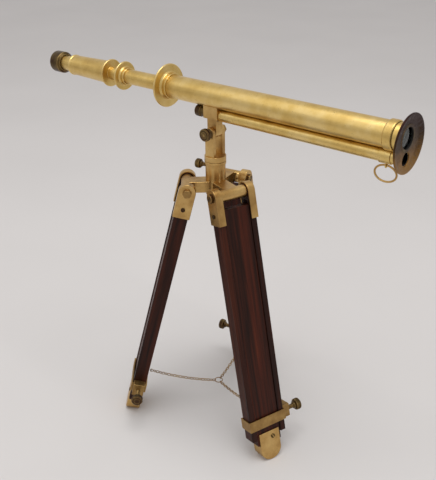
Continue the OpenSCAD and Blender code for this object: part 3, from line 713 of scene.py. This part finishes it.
def head():
    """Fork, hub, their bolts, and the small screw that locks the fork."""
    softened("fork", 0.35, CAST)
    softened("hub", 0.35, CAST)
    softened("hinge_bolts", 0.4, AGED)
    softened("tilt_nut", 0.3, AGED)
    low, high = size_of("hub_finial")
    top, bottom, plug_r = high[2], low[2], 4.55
    shoulder = bottom + 13
    wide_r = (high[0] - low[0]) / 2
    turned(
        "finial", ["hub_finial"], (0, 0, 0), Z,
        [(top, 0), (top, plug_r), (shoulder, plug_r), (shoulder, wide_r), (shoulder - 2.5, wide_r - 1),
         (shoulder - 5, 5), (shoulder - 7, 4), (shoulder - 9, 5.4), (shoulder - 12, 4.6), (bottom, 0)],
        CAST, corner=0.8, closed=False, sides=96)

    low, high = size_of("tilt_bolt")
    pivot_h = (low[2] + high[2]) / 2
    rim_r = (high[2] - low[2]) / 2
    tip, knob_end, bolt_r = -high[1], -low[1], 2.5
    knob_at = knob_end - 7
    turned(
        "tilt_knob", ["tilt_bolt"], (0, 0, pivot_h * MM), -Y,
        stem(tip, knob_at - 1, bolt_r, 5) + [(knob_at - 1, rim_r - 1.5), (knob_at, rim_r - 1.5)]
        + knob_profile(knob_at, 7, rim_r, rim_r * 0.5)[1:],
        BRONZE, corner=0.35, closed=False, sides=160, flutes=(knob_at + 2.6, knob_at + 6, 32, 0.35))

    lock = JOINTS["pan_lock_turn"]
    lock_axis = np.array(lock["axis"], float)
    base = (0, 0, lock["pos_m"][2])
    hub_r = size_of("hub_finial")[1][0] + 1
    turned(
        "lock_screw", ["pan_lock_screw"], base, lock_axis,
        stem(4.8, hub_r + 5, 2, 90) + knob_profile(hub_r + 5, 8, 5, 2)[1:],
        BRONZE, corner=0.3, closed=False, sides=120, flutes=(hub_r + 8, hub_r + 12, 24, 0.3),
        thread=(5.5, hub_r + 4.9, 0.9, 0.22))


# ---------------------------------------------------------------- the legs


def leg_pieces(leg):
    """One leg: rails, slider, caps, strap, clamp screw and foot, with slotted screws on caps and foot."""
    rail_wood = rosewood(f"rail_rosewood_{leg}", leg, ("#160703", "#280F07", "#39170B", "#4B200F"))
    slider_wood = rosewood(f"slider_rosewood_{leg}", leg, ("#1D0A04", "#331409", "#461B0D", "#5B2713"))
    for node in (f"rail_left_{leg}", f"rail_right_{leg}"):
        softened(node, 0.6, rail_wood, segments=3)
    softened(f"slider_{leg}", 0.6, slider_wood, segments=3)
    softened(f"leg_caps_{leg}", 0.45, CAST, segments=3)
    softened(f"strap_{leg}", 0.4, AGED, segments=3)
    softened(f"foot_{leg}", 0.8, CAST, segments=3)

    across, out, down = leg_axes(leg)
    half_w, cap_t, screw_drop, bolt_half = 22, 1.6, 19, 23.8
    rng = np.random.default_rng(leg)
    for side in (-1, 1):
        turn = rng.uniform(0, np.pi)
        name = "near" if side < 0 else "far"
        screw_head(
            f"cap_screw_{name}_{leg}", on_leg(leg, 0, side * (half_w + cap_t - 0.02), screw_drop),
            side * across, turn, 2.3, 1.0, BRONZE, BODY_OF[f"cap_screws_{leg}"])
    head = screw_head(
        f"hinge_head_{leg}", on_leg(leg, 0, -bolt_half - 0.5, 0), -across, 0.6, 4.75, 2.4, BRONZE, "hub")
    shoe_ht, shoe_side, shoe_screw = 8.0, 4.0, 276.0
    for side in (-1, 1):
        name = "front" if side > 0 else "back"
        screw_head(
            f"foot_screw_{name}_{leg}", on_leg(leg, side * (shoe_ht - 0.05), shoe_side, shoe_screw),
            side * out, rng.uniform(0, np.pi), 2.5, 1.1, BRONZE, BODY_OF[f"foot_{leg}"])

    clamp = JOINTS[f"clamp_{leg}_turn"]
    middle = np.array(clamp["pos_m"], float)
    origin = middle - across * np.dot(middle - on_leg(leg, 0, 0, 0), across)
    tip, knob_at = 17.2, 40.0
    turned(
        f"clamp_knob_{leg}", [f"clamp_screw_{leg}"], origin, across,
        stem(tip, knob_at, 2.5, 130) + knob_profile(knob_at, 9, 6.5, 2.5)[1:],
        BRONZE, corner=0.3, closed=False, sides=120, flutes=(knob_at + 3.3, knob_at + 7.8, 30, 0.35),
        thread=(tip + 0.6, knob_at - 0.2, 1.0, 0.28))


def paint_cap_screws():
    """The cap screws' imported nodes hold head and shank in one, and stay with a better finish."""
    for leg in LEGS:
        mesh = frame["nodes"][f"cap_screws_{leg}"].data
        mesh.materials.clear()
        mesh.materials.append(BRONZE)


def chains():
    """Three chains of oval links, each from its leg's eyelet to the ring between the legs.

    Link i of n stands at t = i / (n - 1) of the way, lowered by 4 s t (1 - t) for a sag of s, and every
    other link is turned a quarter about the chain's own direction.
    """
    low, high = size_of("chain_ring")
    wire_r, ring_wire_r, link_len, link_wide, hold, sag, count = 0.45, 0.5, 1.85, 1.5, 1.1, 3.0, 23
    ring_h = (low[2] + high[2]) / 2
    ring_r = (high[0] - low[0]) / 2 - ring_wire_r
    points, faces = wire_loops(
        np.array([[0, 0, ring_h * MM]]), X[None, :], Z[None, :], ring_r, ring_r, ring_wire_r,
        steps=64, sides=14)
    make_piece("chain_joining_ring", points, faces, AGED, BODY_OF["chain_ring"], ["chain_ring"])
    for leg in LEGS:
        across = leg_axes(leg)[0]
        radial = np.cross(across, Z)
        bar = np.array(JOINTS[f"chain_{leg}_hang"]["pos_m"], float) / MM
        start = ring_r + hold
        run = np.dot(bar, radial) - hold - start
        rise = bar[2] - ring_h
        t = np.linspace(0, 1, count)
        pitch = np.arctan2(rise, run) - np.arctan(4 * sag * (1 - 2 * t) / run)
        height = ring_h + rise * t - 4 * sag * t * (1 - t)
        middles = MM * ((start + run * t)[:, None] * radial + height[:, None] * Z)
        ahead = np.cos(pitch)[:, None] * radial + np.sin(pitch)[:, None] * Z
        level = np.cross(ahead, across)
        flat = (np.arange(count) % 2)[:, None]
        normal = np.where(flat == 1, level, across[None, :])
        points, faces = wire_loops(middles, ahead, normal, link_len, link_wide, wire_r, steps=20, sides=8)
        make_piece(f"chain_strand_{leg}", points, faces, AGED, BODY_OF[f"chain_{leg}"], [f"chain_{leg}"])


KEY_POWER, LAMP_POWER, ROOM_STRENGTH = 10, 14, 0.98
MAIN_H = (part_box("main_barrel")[0].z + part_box("main_barrel")[1].z) / 2
FINDER_H = (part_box("finder_barrel")[0].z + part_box("finder_barrel")[1].z) / 2
TURNED = brass("lacquered_brass", ("#CBA961", "#D9B96F", "#E4C886"), (0.28, 0.4), 0.03, (1.0, 0.02, 0.02))
CAST = brass("cast_brass", ("#A98450", "#C19C60", "#D4B274"), (0.28, 0.44), 0.1)
AGED = brass("aged_brass", ("#86683F", "#9C7C4C", "#B4945C"), (0.34, 0.52), 0.1)
BRONZE = dark_bronze()
DISH_PAINTED_SHADE = dish_bronze_painted_shade()
BLACK = optical_black()
GLASS = optical_glass()

place_camera()
barrels()
drawn_tubes()
hanging_ring()
head()
paint_cap_screws()
for leg in LEGS:
    leg_pieces(leg)
chains()
studio()
